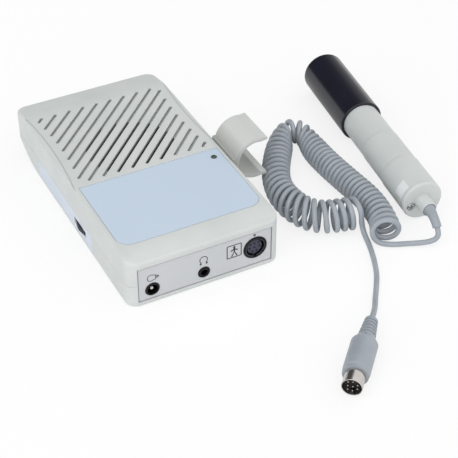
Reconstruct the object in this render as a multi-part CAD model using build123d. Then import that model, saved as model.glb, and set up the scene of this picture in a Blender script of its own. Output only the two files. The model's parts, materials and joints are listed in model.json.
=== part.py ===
from build123d import *
from math import acos, atan2, cos, degrees, floor, hypot, pi, radians, sin, sqrt, tan
import os

# Pocket vascular doppler: main unit, pencil probe with its cap, curly cord and round plug.
# Millimetres. Origin at the middle of the case's flat base, X to the right seen from the front
# panel, Y towards the back, Z up. The front panel with the sockets faces -Y.

# Case
case_width = 80.0
case_length = 149.0
case_height = 27.6
case_corner_r = 6.0
case_wall = 2.0
parting_z = 12.2
parting_gap = 0.1
top_edge_r = 1.6
base_edge_r = 1.2
front_slope_length = 8.0
front_slope_drop = 1.9
rear_slope_length = 17.0
rear_slope_drop = 3.4
rear_lift_length = 21.0
rear_lift_height = 10.0
crease_r = 40.0

front_y = -case_length / 2
rear_y = case_length / 2
half_width = case_width / 2
roof_z = case_height - case_wall

# Waisted shoulders beside the loudspeaker grille
shoulder_front_y = -12.0
shoulder_rear_y = rear_y - 12.5
shoulder_end_x = half_width - 0.1
shoulder_waist_x = half_width - 3.6
shoulder_drop = 1.0

# Loudspeaker, and its grille of slanted slots
speaker_y = 11.0
speaker_opening_r = 22.9
speaker_rim_r = 25.2
speaker_rim_t = 1.0
speaker_basket_r = 12.0
speaker_basket_t = 0.8
speaker_depth = 7.0
speaker_seat = 0.3
magnet_r = 11.0
magnet_t = 1.8
cone_t = 0.4
cone_throat_r = 5.0
cone_depth = 3.4
cone_sink = 0.1
cone_edge_width = 1.2
cone_gap = 0.02
dust_cap_depth = 2.4
slot_width = 1.65
slot_pitch = 7.77
slot_angle = 45.0
slot_depth = 1.5
slot_count = 17
grille_front_y = -6.4
grille_rear_y = rear_y - 20.5
grille_end_half_width = half_width - 5.2
grille_waist = 2.3

# Labels, both bare
label_half_width = half_width - 2.6
label_front_y = front_y + 12.9
label_rear_y = -10.8
label_corner_r = 7.0
label_t = 0.4
side_label_front_y = -30.0
side_label_rear_y = 42.0
side_label_low_z = 1.6
side_label_t = 0.4
label_gap = 0.15

# Front panel with its three sockets
panel_width = case_width - 10.0
panel_height = case_height - 8.2
panel_low_z = 2.8
panel_inset = 0.4
panel_gap = 0.25
panel_corner_r = 0.8
flange_half_width = panel_width / 2 - 2.0
flange_t = 1.2
flange_low_z = 2.1
flange_high_z = case_height - 4.2
dc_x, dc_z = -half_width + 12.1, 8.3
phone_x, phone_z = -1.1, 8.1
socket_x, socket_z = half_width - 13.8, 13.0
dc_bezel_r = 3.65
dc_bore_r = 2.75
dc_bore_depth = 9.5
dc_pin_r = 1.05
dc_body_width = 9.0
phone_bezel_r = 3.1
phone_bore_r = 1.8
phone_bore_depth = 14.0
phone_body_width = 8.0
socket_bezel_r = 6.2
socket_lip_r = 5.15
socket_core_r = 3.9
socket_sleeve_t = 0.2
socket_bore_depth = 8.0
socket_body_width = 14.0
contact_hole_r = 0.5
contact_r = 0.44
contact_recess = 1.2
jack_length = 13.5
bezel_stand = 0.5
bezel_gap = 0.1
panel_dot_x, panel_dot_z, panel_dot_r = socket_x - 0.4, socket_z + 7.7, 0.7

panel_face_y = front_y + panel_inset
panel_inner_y = front_y + case_wall + 0.02
panel_back_y = panel_inner_y + flange_t

# Circuit board
board_z = 3.0
board_t = 1.6
board_half_width = half_width - 4.5
board_front_y = panel_back_y + 0.48
board_bay_gap = 4.4
stand_r = 2.5
stand_xs = (-18.0, 14.0)
stand_front_y = board_front_y + 26.8
stand_rear_y = 6.0

# Volume wheel in the left side, with the power switch in its potentiometer
wheel_r = 12.0
wheel_t = 2.6
wheel_y = -14.6
wheel_z = 7.0
wheel_proud = 1.3
wheel_slot_length = 14.6
wheel_slot_gap = 0.5
wheel_notches = 56
wheel_notch_r = 0.3
pot_r = 6.0
pot_gap = 0.2
pot_shaft_r = 1.5
running_gap = 0.05

# Two cells in their bay in the base
cell_r = 7.25
cell_length = 50.5
cell_button_r = 2.75
cell_button_h = 1.2
cell_gap = 0.2
bay_wall = 1.0
bay_floor_t = 1.2
contact_t = 0.5
contact_end_gap = 0.25
contact_width = 9.0
contact_bump_r = 3.0
bay_half_length = cell_length / 2 + cell_button_h + contact_t + contact_end_gap
bay_rear_y = rear_y - 27.5
bay_front_y = bay_rear_y - 4 * cell_r - 3 * cell_gap
board_rear_y = bay_front_y - bay_wall - board_bay_gap
cover_half_width = bay_half_length + 1.8
cover_front_y = bay_front_y - 1.4
cover_rear_y = bay_rear_y + 6.5
cover_rim = 1.3
cover_t = 1.7
cover_inset = 0.3
cover_lip = 1.2
cover_lip_t = 0.8
cover_gap = 0.15
cover_path_rear_y = rear_y - 12.0
cover_grip_y = bay_front_y + 10.6
cover_grip_pitch = 2.4
cover_grip_half_length = 12.0
cover_grips = 5

# Screws and their posts
post_r = 3.0
post_x = half_width - 6.5
post_ys = (front_y + 21.0, bay_rear_y + bay_wall + post_r + 0.7)
screw_r = 1.1
screw_head_r = 2.1
screw_head_h = 1.6
screw_sink = 0.8
screw_length = 12.0
pilot_gap = 0.02
clearance_gap = 0.15

# Indicator lamp
lamp_x, lamp_y = half_width - 7.2, -17.4
lamp_r = 1.5
lamp_flange_r = 2.0
lamp_flange_t = 0.8
lamp_lead_r = 0.25
lamp_lead_offset = 1.0

# Probe clip on the right side
clip_x, clip_z = half_width + 13.1, case_height - 2.6
clip_inner_r = 9.8
clip_wall = 1.7
clip_front_y = -25.0
clip_length = 24.0
clip_lip_length = 4.75
clip_lip_flare = 4.0
clip_arc_end = 78.0
clip_plate_t = 2.4
clip_plate_low_z = 3.0
clip_screw_z = 16.0
clip_screw_margin = 6.0

# Probe, lying beside the unit on its cap
probe_x, probe_y = 135.3, 48.7
probe_heading = -97.4
cap_r = 11.7
cap_wall = 1.3
cap_length = 54.0
cap_floor = 2.0
cap_edge_r = 2.0
neck_r = 10.2
neck_end = 79.0
middle_r = 10.5
middle_end = 103.0
grip_r = 10.8
grip_end = 126.6
step_length = 0.6
body_wall = 1.5
face_start = 3.6
face_t = 2.0
face_edge_r = 0.6
spigot_length = 4.0
spigot_gap = 0.05
crystal_r = 6.5
crystal_t = 1.0
crystal_split = 0.8
crystal_gap = 0.1
backing_t = 6.0
probe_board_width = 12.0
probe_board_length = 78.0
tail_length = 2.0
tail_edge_r = 1.2
tail_inner_boss = 3.0
tail_inner_boss_r = 2.3
boss_base_r = 4.3
boss_tip_r = 4.0
boss_length = 7.8
boss_recess = 0.8
tail_screw_offset = 6.6
tail_screw_turn = 20.0
tail_screw_head_r = 2.1
tail_screw_rise = 0.4
tail_post_r = 2.6
tail_post_length = 6.0
relief_base_r = 3.3
relief_tip_r = 2.25
relief_bend_r = 14.7
relief_bend = 44.0
relief_sections = 6
sticker_start = 119.4
sticker_length = 6.6
sticker_t = 0.15
sticker_span = 42.0
sticker_turn = 60.0

# Cord: one wire from the probe to the plug, curled in the middle
wire_d = 2.5
turn_gap = 0.5
fold_gap = 1.2
curl_r = 5.9
first_curl_r = 6.7
fold_curl_r = 5.4
waist_curl_r = 6.2
last_curl_r = 7.2
free_pitch = 3.0
first_pitch = 4.8
loose_pitch = 4.0
ring_reach = 12.0
ring_lead = 6.0
bend_reach = 1.5
coil_route = [(91.2, -88.8), (95.4, -81.2), (98.0, -69.5), (98.6, -58.0), (97.4, -46.0), (96.3, -34.0),
              (95.6, -22.0), (95.7, -12.0), (96.6, -3.5), (97.6, 3.5), (96.4, 9.4), (91.6, 11.4),
              (87.2, 7.8), (83.6, 3.4), (79.0, -2.2), (73.8, -9.4), (68.8, -17.2), (64.4, -26.0),
              (61.4, -36.0), (61.0, -46.5), (62.8, -55.5), (66.8, -61.7), (72.6, -65.2), (79.0, -66.8),
              (85.8, -68.4)]
axis_steps = 3000
gap_points_per_edge = 8
probe_lead_points = [(115.0, -99.2, 4.7), (113.0, -99.6, 3.7), (109.8, -98.4, 2.6), (105.7, -96.0, 1.7),
                     (100.6, -93.5, 1.3)]
plug_lead_points = [(85.3, -73.6, 14.6), (85.4, -75.0, 11.6), (85.6, -75.2, 7.6), (85.8, -76.2, 4.0),
                    (85.6, -78.9, 1.7), (84.6, -83.2, 1.35), (82.6, -89.6, 1.35), (79.2, -98.4, 1.4),
                    (75.2, -106.8, 1.4), (70.0, -114.6, 1.4), (65.4, -121.0, 1.4), (61.4, -127.0, 2.4)]
relief_out = 2.6
plug_in = 6.0
coil_end_run = 1.2
lead_in = 2.8
lead_out = 1.3

# Plug
plug_x, plug_y = 52.6, -137.5
plug_heading = -132.9
boot_length = 13.0
boot_tip_r = 3.1
boot_root_r = 4.3
boot_ribs = 5
boot_groove = 0.5
plug_body_r = 6.3
plug_body_length = 23.4
plug_shoulder = 3.2
plug_nose_r = 6.0
plug_shell_r = 4.75
plug_shell_t = 0.3
plug_shell_length = 7.6
plug_insert_recess = 4.0
plug_pin_r = 0.3
plug_pin_short = 0.6
pin_rows = [(1.9, (-2.2, 0.0, 2.2)), (-0.3, (-2.6, 0.0, 2.6)), (-2.4, (-1.1, 1.1))]

board_top = board_z + board_t
wheel_x = -(half_width - side_label_t + wheel_proud - wheel_r)
cell_z = cover_inset + cover_t + cell_gap + cell_r
bay_floor_top = case_wall + bay_floor_t
tray_top = cell_z + cell_r + cell_gap + bay_wall
wire_r = wire_d / 2


def box(x0, x1, y0, y1, z0, z1):
    """A block between two corners."""
    return Pos((x0 + x1) / 2, (y0 + y1) / 2, (z0 + z1) / 2) * Box(x1 - x0, y1 - y0, z1 - z0)


def rod(radius, length, place):
    """A cylinder that starts at place and runs along its Z."""
    return place * Pos(0, 0, length / 2) * Cylinder(radius, length)


def along_y(x, y, z):
    """A place whose Z points into the case from the front, along +Y."""
    return Location(Plane(origin=(x, y, z), x_dir=(1, 0, 0), z_dir=(0, 1, 0)))


def along_x(x, y, z):
    """A place whose Z points along +X."""
    return Location(Plane(origin=(x, y, z), x_dir=(0, 1, 0), z_dir=(1, 0, 0)))


def turned(points):
    """A solid turned round the Z axis from (radius, height) points."""
    outline = Polyline(*[(r, 0, z) for r, z in points], close=True)
    return revolve(make_face(outline), Axis.Z)


def save(part, node):
    export_step(part, f"parts/{node}.step")


def side_outline(inset):
    """The case seen from the side, moved inwards by inset."""
    top = case_height - inset
    corners = [(front_y + inset, inset), (rear_y - rear_lift_length, inset),
               (rear_y - inset, rear_lift_height + inset), (rear_y - inset, top - rear_slope_drop),
               (rear_y - rear_slope_length, top), (front_y + front_slope_length, top),
               (front_y + inset, top - front_slope_drop)]
    outline = make_face(Polyline(*[(0, y, z) for y, z in corners], close=True))
    creases = outline.vertices().filter_by(lambda v: abs(v.Y) < rear_y - inset - 2)
    return fillet(creases, crease_r)


def case_form(inset):
    """The closed form of the case, moved inwards by inset."""
    plan = RectangleRounded(case_width - 2 * inset, case_length - 2 * inset, case_corner_r - inset)
    return extrude(plan, case_height) & extrude(side_outline(inset), case_width, both=True)


def rim_edges(form, above):
    """The edges round the top or round the base of the whole case."""
    def on_rim(edge):
        spot = edge.center()
        upright = edge.geom_type == GeomType.LINE and abs((edge % 0.5).Z) > 0.9
        crease = edge.geom_type == GeomType.LINE and abs((edge % 0.5).X) > 0.9 and abs(spot.Y) < rear_y - 1
        return not upright and not crease and (spot.Z > parting_z) == above
    return form.edges().filter_by(on_rim)


def rounded_case():
    """The outer form with its top and base edges rounded."""
    form = case_form(0)
    form = fillet(rim_edges(form, True), top_edge_r)
    return fillet(rim_edges(form, False), base_edge_r) - shoulder_cuts(0)


def shoulder_cuts(inset):
    """The two waisted shoulders that fall away beside the grille."""
    far = half_width + 10
    middle = (shoulder_front_y + shoulder_rear_y) / 2

    def slice_at(z, end_x, waist_x):
        bow = ThreePointArc((end_x, shoulder_front_y, z), (waist_x, middle, z), (end_x, shoulder_rear_y, z))
        rest = Polyline((end_x, shoulder_rear_y, z), (far, shoulder_rear_y, z), (far, shoulder_front_y, z),
                        (end_x, shoulder_front_y, z))
        return make_face(bow + rest)

    top_z, low_z = case_height + 0.4 - inset, case_height - shoulder_drop - inset
    cut = loft([slice_at(low_z, half_width + 0.2 - inset, half_width - 0.3 - inset),
                slice_at(top_z, shoulder_end_x - inset, shoulder_waist_x - inset)], ruled=True)
    cut += extrude(slice_at(top_z, shoulder_end_x - inset, shoulder_waist_x - inset), 5)
    return cut + mirror(cut, Plane.YZ)


def case_cavity():
    """The hollow inside both shells."""
    return case_form(case_wall) - shoulder_cuts(case_wall)


def panel_cut():
    """The opening for the front panel."""
    return box(-panel_width / 2 - panel_gap, panel_width / 2 + panel_gap, front_y - 5, front_y + case_wall + 1,
               panel_low_z - panel_gap, panel_low_z + panel_height + panel_gap)


def slot_ends(index):
    """The two ends of a grille slot, where its middle line meets the waisted outline."""
    lean = tan(radians(slot_angle))
    middle, half = (grille_front_y + grille_rear_y) / 2, (grille_rear_y - grille_front_y) / 2
    start_x = slot_pitch * (index - (slot_count - 1) / 2) + half / lean

    def half_width_at(y):
        return grille_end_half_width - grille_waist * (1 - ((y - middle) / half) ** 2)

    def x_at(y):
        return start_x - (grille_rear_y - y) / lean

    ends = []
    for limit, side in ((grille_front_y, -1), (grille_rear_y, 1)):
        y = limit
        while abs(x_at(y)) > half_width_at(y):
            y -= side * 0.05
        ends.append((x_at(y), y))
    return ends


def grille_slots():
    """Every slot as a flat outline with round ends."""
    slots = []
    for index in range(slot_count):
        (x0, y0), (x1, y1) = slot_ends(index)
        length = hypot(x1 - x0, y1 - y0) + slot_width
        slots.append(Pos((x0 + x1) / 2, (y0 + y1) / 2) * Rot(0, 0, slot_angle) * SlotOverall(length, slot_width))
    return slots


def label_outline(grow):
    """The top label: square at the grille, rounded at the front panel's end."""
    half = label_half_width + grow
    corner = label_corner_r + grow
    outline = make_face(Polyline((-half, label_rear_y + grow), (half, label_rear_y + grow),
                                 (half, label_front_y - grow), (-half, label_front_y - grow), close=True))
    return fillet(outline.vertices().group_by(Axis.Y)[0], corner)


def make_upper_shell():
    shell = rounded_case() - case_cavity()
    shell &= box(-half_width, half_width, front_y, rear_y, parting_z + parting_gap / 2, case_height)
    shell -= panel_cut()
    shell -= Pos(0, 0, case_height - label_t) * extrude(label_outline(label_gap), 5)
    opening = Pos(0, speaker_y, roof_z - 1) * extrude(Circle(speaker_opening_r), case_wall + 2)
    for slot in grille_slots():
        shell -= Pos(0, 0, case_height - slot_depth) * extrude(slot, 2)
        shell -= Pos(0, 0, roof_z - 1) * extrude(slot, case_wall + 2) & opening
    shell -= rod(lamp_r + running_gap, 8, Pos(lamp_x, lamp_y, roof_z - 4))
    for x, y in post_places():
        low = parting_z + parting_gap / 2
        shell += rod(post_r, roof_z + 0.5 - low, Pos(x, y, low))
        shell -= rod(screw_r + pilot_gap, screw_length, Pos(x, y, screw_sink))
    for y in clip_screw_ys():
        shell -= rod(screw_r + clearance_gap, 4, along_x(half_width - 3, y, clip_screw_z))
    return shell


def make_lower_shell():
    shell = rounded_case() - case_cavity()
    shell &= box(-half_width, half_width, front_y, rear_y, 0, parting_z - parting_gap / 2)
    floor_x = cover_half_width + cover_lip + cover_rim
    shell += box(-floor_x, floor_x, cover_front_y - cover_rim, cover_rear_y + 1, case_wall - 0.5, bay_floor_top)
    shell -= panel_cut()
    slot_half = wheel_t / 2 + wheel_slot_gap
    shell -= box(-half_width - 1, wheel_x, wheel_y - wheel_slot_length / 2, wheel_y + wheel_slot_length / 2,
                 wheel_z - slot_half, wheel_z + slot_half)
    shell -= rod(wheel_r + wheel_slot_gap, 2 * slot_half, Pos(wheel_x, wheel_y, wheel_z - slot_half))
    shell -= box(-half_width - 1, -half_width + side_label_t, side_label_front_y - label_gap,
                 side_label_rear_y + label_gap, side_label_low_z - label_gap, parting_z)
    shell -= cover_path()
    shell -= box(-bay_half_length, bay_half_length, bay_front_y, bay_rear_y, 0, bay_floor_top + 1)
    for x in stand_xs:
        for y in (stand_front_y, stand_rear_y):
            shell += rod(stand_r, board_z - case_wall + 0.5, Pos(x, y, case_wall - 0.5))
    for x, y in post_places():
        shell += rod(post_r, parting_z - parting_gap / 2 - case_wall + 0.5, Pos(x, y, case_wall - 0.5))
        shell -= rod(screw_r + clearance_gap, parting_z + 2, Pos(x, y, -1))
        shell -= rod(screw_head_r + clearance_gap, screw_sink + screw_head_h + 1, Pos(x, y, -1))
    return shell


def post_places():
    return [(side * post_x, y) for side in (-1, 1) for y in post_ys]


def cover_path():
    """The recess that the battery cover slides in, open at the back."""
    out_y = cover_path_rear_y
    top = cover_inset + cover_t + cover_gap
    plate = box(-cover_half_width - cover_gap, cover_half_width + cover_gap, cover_front_y - cover_gap, out_y,
                -1, top)
    reach = cover_half_width + cover_lip + cover_gap
    lips = box(-reach, reach, cover_front_y - cover_gap, out_y, top - cover_lip_t - 2 * cover_gap, top)
    return plate + lips


def make_battery_cover():
    top = cover_inset + cover_t
    cover = box(-cover_half_width, cover_half_width, cover_front_y, cover_rear_y, 0, top)
    reach = cover_half_width + cover_lip
    cover += box(-reach, reach, cover_front_y, cover_rear_y, top - cover_lip_t, top)
    cover &= case_form(cover_inset)
    for index in range(cover_grips):
        y = cover_grip_y + index * cover_grip_pitch
        cover -= box(-cover_grip_half_length, cover_grip_half_length, y, y + cover_grip_pitch / 2,
                     cover_inset - 1, cover_inset + 0.5)
    return cover


def make_battery_tray():
    """The tray over the cells, closed at the top and open to the battery cover."""
    tray = box(-bay_half_length - bay_wall, bay_half_length + bay_wall, bay_front_y - bay_wall,
               bay_rear_y + bay_wall, bay_floor_top, tray_top)
    return tray - box(-bay_half_length, bay_half_length, bay_front_y, bay_rear_y, 0, tray_top - bay_wall)


def cell_ys():
    first = bay_front_y + cell_gap + cell_r
    return (first, first + 2 * cell_r + cell_gap)


def make_batteries():
    cells = []
    for y, side in zip(cell_ys(), (1, -1)):
        tube = rod(cell_r, cell_length, along_x(-cell_length / 2, y, cell_z))
        tube = chamfer(tube.edges(), 0.6)
        button = rod(cell_button_r, cell_button_h, along_x(cell_length / 2, y, cell_z))
        cell = tube + button
        cells.append(cell if side > 0 else mirror(cell, Plane.YZ))
    return Compound(children=[Part(c.wrapped) for c in cells])


def make_battery_contacts():
    """Sheet contacts: one joins the cells at the left, two lead out at the right."""
    face = bay_half_length - contact_t
    low, high = cell_z - contact_width / 2, cell_z + contact_width / 2
    front, back = cell_ys()
    left = box(-bay_half_length, -face, front - contact_width / 2, back + contact_width / 2, low, high)
    left += along_x(-face, front, cell_z) * spring_bump(face - cell_length / 2)
    left += rod(contact_bump_r - 1, contact_end_gap, along_x(-face, back, cell_z))
    right = box(face, bay_half_length, front - contact_width / 2, front + contact_width / 2, low, high)
    right += rod(contact_bump_r - 1, contact_end_gap, along_x(face - contact_end_gap, front, cell_z))
    other = box(face, bay_half_length, back - contact_width / 2, back + contact_width / 2, low, high)
    other += mirror(along_x(-face, back, cell_z) * spring_bump(face - cell_length / 2), Plane.YZ)
    return Compound(children=[left, right, other])


def spring_bump(height):
    """A pressed spring cone that rises from a contact to a cell."""
    return turned([(0, 0), (contact_bump_r, 0), (contact_bump_r - 1, height), (0, height)])


def make_main_board():
    board = box(-board_half_width, board_half_width, board_front_y, board_rear_y, board_z, board_top)
    for x, y in post_places():
        board -= rod(post_r + 0.3, board_t + 2, Pos(x, y, board_z - 1))
    return board


def make_board_components():
    """Chips, capacitors and a crystal standing on the board."""
    chips = [(-2.0, 44.8, 14.0, 14.0, 2.2), (17.0, 42.8, 10.0, 7.0, 1.8), (17.0, 30.8, 6.0, 5.0, 1.6),
             (-16.0, 24.8, 9.0, 6.0, 1.8), (2.0, 23.8, 5.0, 11.0, 3.5)]
    cans = [(8.0, 62.8, 4.0, 9.0), (19.0, 60.8, 3.2, 8.0), (27.0, 34.8, 3.2, 8.0), (27.0, 26.8, 2.6, 7.0)]
    parts = []
    for x, back, width, depth, height in chips:
        y = board_front_y + back
        parts.append(box(x - width / 2, x + width / 2, y - depth / 2, y + depth / 2, board_top,
                         board_top + height))
    parts += [rod(radius, height, Pos(x, board_front_y + back, board_top)) for x, back, radius, height in cans]
    return Compound(children=parts)


def make_speaker_frame():
    edge, deep = speaker_opening_r + speaker_seat, speaker_depth - magnet_t
    return Pos(0, speaker_y, roof_z) * turned(
        [(0, -deep), (speaker_basket_r, -deep), (speaker_rim_r - 1.4, -speaker_rim_t),
         (speaker_rim_r, -speaker_rim_t), (speaker_rim_r, 0), (edge, 0), (edge, -cone_sink - cone_t),
         (speaker_basket_r - 0.4, speaker_basket_t - deep), (0, speaker_basket_t - deep)])


def make_speaker_magnet():
    magnet = rod(magnet_r, magnet_t, Pos(0, speaker_y, roof_z - speaker_depth))
    return chamfer(magnet.edges().group_by(Axis.Z)[0], 0.4)


def make_speaker_cone():
    edge = speaker_opening_r + speaker_seat - cone_gap
    upper = [(0, -dust_cap_depth), (cone_throat_r * 0.6, -dust_cap_depth - 0.3), (cone_throat_r, -cone_depth),
             (edge - cone_edge_width, -cone_sink), (edge, -cone_sink)]
    lower = [(r, z - cone_t) for r, z in reversed(upper)]
    return Pos(0, speaker_y, roof_z) * turned(upper + lower)


def make_volume_pot():
    """The body of the potentiometer with the post that the wheel turns on."""
    low = wheel_z - wheel_t / 2 - pot_gap
    post_top = wheel_z + wheel_t / 2 + 1.2
    return rod(pot_r, low - board_top, Pos(wheel_x, wheel_y, board_top)) \
        + rod(pot_shaft_r, post_top - low, Pos(wheel_x, wheel_y, low))


def make_volume_wheel():
    """A thumb wheel with a finely notched rim."""
    rim = Circle(wheel_r)
    for index in range(wheel_notches):
        turn = radians(360 * index / wheel_notches)
        rim -= Pos(wheel_r * cos(turn), wheel_r * sin(turn)) * Circle(wheel_notch_r)
    rim -= Circle(pot_shaft_r + running_gap)
    return Pos(wheel_x, wheel_y, wheel_z - wheel_t / 2) * extrude(rim, wheel_t)


def make_wheel_clip():
    """The ring on the post that keeps the wheel down."""
    ring = extrude(Circle(2 * pot_shaft_r) - Circle(pot_shaft_r), 0.5)
    return Pos(wheel_x, wheel_y, wheel_z + wheel_t / 2 + running_gap) * ring


def make_power_led():
    dome = rod(lamp_r, case_height - roof_z + lamp_flange_t, Pos(lamp_x, lamp_y, roof_z - lamp_flange_t))
    dome += Pos(lamp_x, lamp_y, case_height) * scale(Sphere(lamp_r), (1, 1, 0.5))
    return dome + rod(lamp_flange_r, lamp_flange_t, Pos(lamp_x, lamp_y, roof_z - lamp_flange_t))


def make_led_leads():
    low, high = board_top, roof_z - lamp_flange_t
    return Compound(children=[rod(lamp_lead_r, high - low, Pos(lamp_x + side * lamp_lead_offset, lamp_y, low))
                              for side in (-1, 1)])


def make_top_label():
    label = Pos(0, 0, case_height - label_t) * extrude(label_outline(0), label_t)
    return label - rod(lamp_r + running_gap, 2, Pos(lamp_x, lamp_y, case_height - 1))


def make_side_label():
    """The bare strip in the left wall, with the slot for the wheel."""
    label = box(-half_width, -half_width + side_label_t, side_label_front_y, side_label_rear_y,
                side_label_low_z, parting_z - parting_gap / 2)
    slot_half = wheel_t / 2 + wheel_slot_gap
    return label - box(-half_width - 1, wheel_x, wheel_y - wheel_slot_length / 2,
                       wheel_y + wheel_slot_length / 2, wheel_z - slot_half, wheel_z + slot_half)


def make_front_panel():
    high = panel_low_z + panel_height
    plate = box(-panel_width / 2, panel_width / 2, panel_face_y, panel_inner_y, panel_low_z, high)
    plate = chamfer(plate.faces().sort_by(Axis.Y)[0].edges(), 0.3)
    plate += box(-flange_half_width, flange_half_width, panel_inner_y, panel_back_y, flange_low_z, flange_high_z)
    for x, z, radius in ((dc_x, dc_z, dc_bezel_r), (phone_x, phone_z, phone_bezel_r),
                         (socket_x, socket_z, socket_bezel_r)):
        plate -= rod(radius + bezel_gap, 5, along_y(x, panel_face_y - 1, z))
    return plate - rod(panel_dot_r, 0.3, along_y(panel_dot_x, panel_face_y, panel_dot_z))


def jack_body(x, z, width, bezel_r, high):
    """A socket's housing behind the panel and its round front."""
    body = box(x - width / 2, x + width / 2, panel_back_y, panel_back_y + jack_length, board_top, high)
    face_y = panel_face_y - bezel_stand
    bezel = rod(bezel_r, panel_back_y + 1 - face_y, along_y(x, face_y, z))
    return body + chamfer(bezel.edges().group_by(Axis.Y)[0], 0.3)


def make_dc_jack():
    face_y = panel_face_y - bezel_stand
    body = jack_body(dc_x, dc_z, dc_body_width, dc_bezel_r, dc_z + 4.4)
    body -= rod(dc_bore_r, dc_bore_depth, along_y(dc_x, face_y, dc_z))
    return body - rod(dc_pin_r, 3, along_y(dc_x, face_y + dc_bore_depth, dc_z))


def make_dc_jack_pin():
    face_y = panel_face_y - bezel_stand
    pin = rod(dc_pin_r, dc_bore_depth + 2, along_y(dc_x, face_y + 1, dc_z))
    return fillet(pin.edges().group_by(Axis.Y)[0], 0.6)


def make_phone_jack():
    face_y = panel_face_y - bezel_stand
    body = jack_body(phone_x, phone_z, phone_body_width, phone_bezel_r, phone_z + 4)
    return body - rod(phone_bore_r, phone_bore_depth, along_y(phone_x, face_y, phone_z))


def socket_pin_places():
    return [(x, z) for z, row in pin_rows for x in row]


def make_probe_socket():
    """The housing of the round socket, with the core that fits inside the plug's shell."""
    face_y = panel_face_y - bezel_stand
    half = socket_body_width / 2
    bore_r = plug_shell_r + bezel_gap + socket_sleeve_t
    floor_y = face_y + socket_bore_depth
    body = box(socket_x - half, socket_x + half, panel_back_y, panel_back_y + jack_length, board_top,
               socket_z + half - 0.5)
    body -= rod(bore_r, floor_y - panel_back_y + 1, along_y(socket_x, panel_back_y - 1, socket_z))
    body += rod(socket_core_r, socket_bore_depth - 0.5, along_y(socket_x, face_y + 1, socket_z))
    bezel = rod(socket_bezel_r, panel_back_y - face_y, along_y(socket_x, face_y, socket_z))
    bezel = fillet(bezel.edges().group_by(Axis.Y)[0], 0.35)
    body += bezel - rod(socket_lip_r, 9, along_y(socket_x, face_y - 1, socket_z))
    for x, z in socket_pin_places():
        body -= rod(contact_hole_r, 7, along_y(socket_x + x, face_y + 0.5, socket_z + z))
    return body


def make_probe_socket_shield():
    """The metal sleeve round the socket's core, with its lip, notched at the bottom for the plug's key."""
    face_y = panel_face_y - bezel_stand
    inner = plug_shell_r + bezel_gap
    outer = inner + socket_sleeve_t
    lip_end = panel_back_y - face_y
    sleeve = along_y(socket_x, face_y, socket_z) * turned(
        [(inner, 0.2), (socket_lip_r, 0.2), (socket_lip_r, lip_end), (outer, lip_end),
         (outer, socket_bore_depth - 0.2), (inner, socket_bore_depth - 0.2)])
    return sleeve - box(socket_x - 0.8, socket_x + 0.8, face_y - 1, face_y + 1.6, socket_z - socket_lip_r - 1,
                        socket_z)


def make_probe_socket_contacts():
    face_y = panel_face_y - bezel_stand
    return Compound(children=[rod(contact_r, 7.5 - 1 - contact_recess,
                                  along_y(socket_x + x, face_y + 1 + contact_recess, socket_z + z))
                              for x, z in socket_pin_places()])


def clip_screw_ys():
    return (clip_front_y + clip_screw_margin, clip_front_y + clip_length - clip_screw_margin)


def make_probe_clip():
    """An open C along Y on a plate against the right wall."""
    outer_r = clip_inner_r + clip_wall
    middle_r = clip_inner_r + clip_wall / 2
    edge_x, edge_y = 60 * cos(radians(clip_arc_end)), 60 * sin(radians(clip_arc_end))
    mouth = make_face(Polyline((0, 0), (edge_x, edge_y), (60, edge_y), (60, -edge_y), (edge_x, -edge_y),
                               close=True))
    section = Circle(outer_r) - Circle(clip_inner_r) - mouth
    reach = clip_lip_length / 2 - clip_wall / 2
    for side in (-1, 1):
        start = (middle_r * cos(radians(clip_arc_end)), side * middle_r * sin(radians(clip_arc_end)))
        lip = Rot(0, 0, side * clip_lip_flare) * Pos(reach, 0) * SlotOverall(clip_lip_length, clip_wall)
        section += Pos(*start) * lip
    place = Location(Plane(origin=(clip_x, clip_front_y, clip_z), x_dir=(1, 0, 0), z_dir=(0, 1, 0)))
    clip = place * extrude(section, clip_length)
    plate_x = half_width + clip_plate_t
    clip += box(half_width, plate_x, clip_front_y, clip_front_y + clip_length, clip_plate_low_z, clip_z + 3)
    clip -= rod(clip_inner_r, clip_length + 2, Location(Plane(origin=(clip_x, clip_front_y - 1, clip_z),
                                                             x_dir=(1, 0, 0), z_dir=(0, 1, 0))))
    for y in clip_screw_ys():
        clip -= rod(screw_r + pilot_gap, clip_plate_t - 0.3, along_x(half_width, y, clip_screw_z))
    return clip


def screw(length, head_r):
    """A pan-head screw from its head at 0, pointing along Z, with a cross recess."""
    body = rod(head_r, screw_head_h, Pos(0, 0, 0)) + rod(screw_r, length, Pos(0, 0, 0))
    body = chamfer(body.edges().group_by(Axis.Z)[0], 0.4)
    for turn in (0, 90):
        body -= Rot(0, 0, turn) * Box(2 * head_r - 1.4, 0.6, 1.4)
    return body


def make_case_screws():
    return Compound(children=[Pos(x, y, screw_sink) * screw(screw_length, screw_head_r)
                              for x, y in post_places()])


def make_clip_screws():
    inner_x = half_width - case_wall - screw_head_h
    length = screw_head_h + case_wall + clip_plate_t - 0.3
    return Compound(children=[along_x(inner_x, y, clip_screw_z) * screw(length, screw_head_r)
                              for y in clip_screw_ys()])


def probe_place(along):
    """A place on the probe's axis, Z along the probe and X up."""
    turn = radians(probe_heading)
    heading = (cos(turn), sin(turn), 0)
    origin = (probe_x + along * heading[0], probe_y + along * heading[1], cap_r)
    return Location(Plane(origin=origin, x_dir=(0, 0, 1), z_dir=heading))


def make_probe_cap():
    bore_r = neck_r + spigot_gap
    cap = turned([(0, 0), (cap_r, 0), (cap_r, cap_length), (bore_r, cap_length), (bore_r, cap_floor),
                  (0, cap_floor)])
    cap = fillet(cap.edges().filter_by(GeomType.CIRCLE).group_by(Axis.Z)[0], cap_edge_r)
    outer_rim = cap.edges().filter_by(GeomType.CIRCLE).group_by(Axis.Z)[-1].sort_by(SortBy.RADIUS)[-1]
    return probe_place(0) * fillet(outer_rim, 0.5)


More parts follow.
